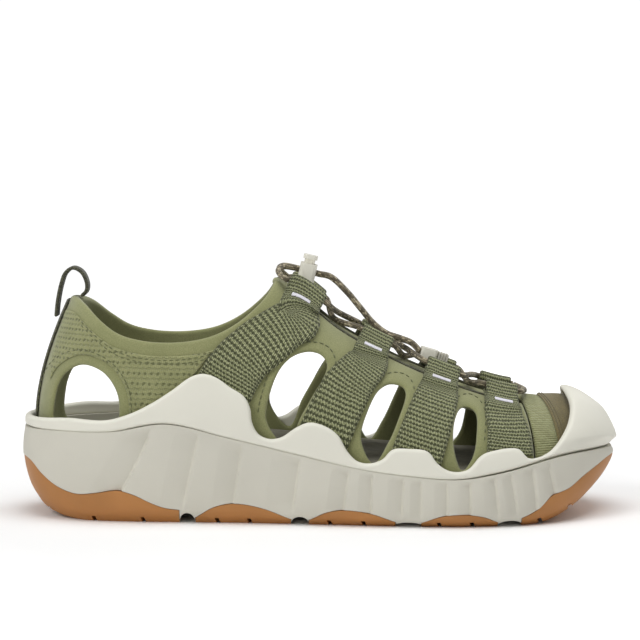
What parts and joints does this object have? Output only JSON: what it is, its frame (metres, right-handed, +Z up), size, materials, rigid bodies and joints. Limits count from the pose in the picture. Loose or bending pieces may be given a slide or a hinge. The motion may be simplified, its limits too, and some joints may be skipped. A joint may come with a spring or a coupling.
{
  "type": "sport sandal",
  "caption": "Closed-toe sport sandal, right foot, with webbing straps, an elastic lace and cord lock, a foam midsole and a gum rubber outsole.",
  "frame": {"origin": "middle of the bounding box on the ground", "axes": "+X towards the toes, +Y towards the inner (medial) side, +Z up"},
  "size_m": [0.3016, 0.1154, 0.1302],
  "materials": {
    "gum": "satin moulded gum rubber",
    "foam": "matte moulded foam",
    "rand": "satin moulded rubber",
    "board": "woven lasting board",
    "footbed": "textured fabric over foam",
    "knit": "smooth knit over foam",
    "mesh": "embossed knit",
    "tongue": "knit over foam",
    "olive": "matte coated overlay",
    "dark": "woven tape",
    "webbing": "melange woven webbing",
    "tack": "reflective stitching",
    "lace": "braided elastic",
    "cream": "satin moulded plastic",
    "grip": "ribbed soft plastic",
    "steel": "spring wire"
  },
  "bodies": {
    "root": {"outsole_heel_pod": "gum", "outsole_arch_pod": "gum", "outsole_ball_pod": "gum", "outsole_forefoot_pod": "gum", "outsole_toe_pod": "gum", "midsole": "foam", "rand": "rand", "lasting_board": "board", "footbed": "footbed", "quarter_lateral": "knit", "heel_mesh_lateral": "mesh", "throat_binding_lateral": "dark", "strap_lateral_1": "webbing", "bar_tack_lateral_1": "tack", "strap_lateral_2": "webbing", "bar_tack_lateral_2": "tack", "strap_lateral_3": "webbing", "bar_tack_lateral_3": "tack", "strap_lateral_4": "webbing", "bar_tack_lateral_4": "tack", "lace_tail_lateral": "lace", "quarter_medial": "knit", "heel_mesh_medial": "mesh", "throat_binding_medial": "dark", "strap_medial_1": "webbing", "bar_tack_medial_1": "tack", "strap_medial_2": "webbing", "bar_tack_medial_2": "tack", "strap_medial_3": "webbing", "bar_tack_medial_3": "tack", "strap_medial_4": "webbing", "bar_tack_medial_4": "tack", "lace_tail_medial": "lace", "lace_strand_lateral": "lace", "lace_strand_medial": "lace", "vamp": "mesh", "toe_overlay": "olive", "tongue": "tongue", "heel_tape": "dark"},
    "cord_lock": {"cord_lock_body": "cream", "cord_lock_spring": "steel"},
    "lock_plunger": {"cord_lock_plunger": "cream"},
    "lace_clip_body": {"lace_clip": "cream", "lace_clip_grip": "grip"},
    "heel_pull_loop": {"pull_loop": "dark"}
  },
  "joints": [
    {"name": "cord_lock_slide", "type": "slide", "parent": "root", "child": "cord_lock", "axis": [0.9701, 0, -0.2425], "range_m": [0, 0.006]},
    {"name": "lock_plunger_press", "type": "slide", "parent": "cord_lock", "child": "lock_plunger", "axis": [-0.225, 0, -0.9744], "range_m": [0, 0.002], "stiffness_N_per_m": 400, "springref_m": -0.002, "deforming": ["cord_lock_spring"]},
    {"name": "lace_clip_lift", "type": "hinge", "parent": "root", "child": "lace_clip_body", "pos_m": [0.05012, -0.00421, 0.081], "axis": [0, -1, 0], "range_deg": [0, 10]},
    {"name": "pull_loop_swing", "type": "hinge", "parent": "root", "child": "heel_pull_loop", "pos_m": [-0.13348, 0.00074, 0.0985], "axis": [0, -1, 0], "range_deg": [0, 45], "stiffness_Nm_per_rad": 0.02}
  ]
}
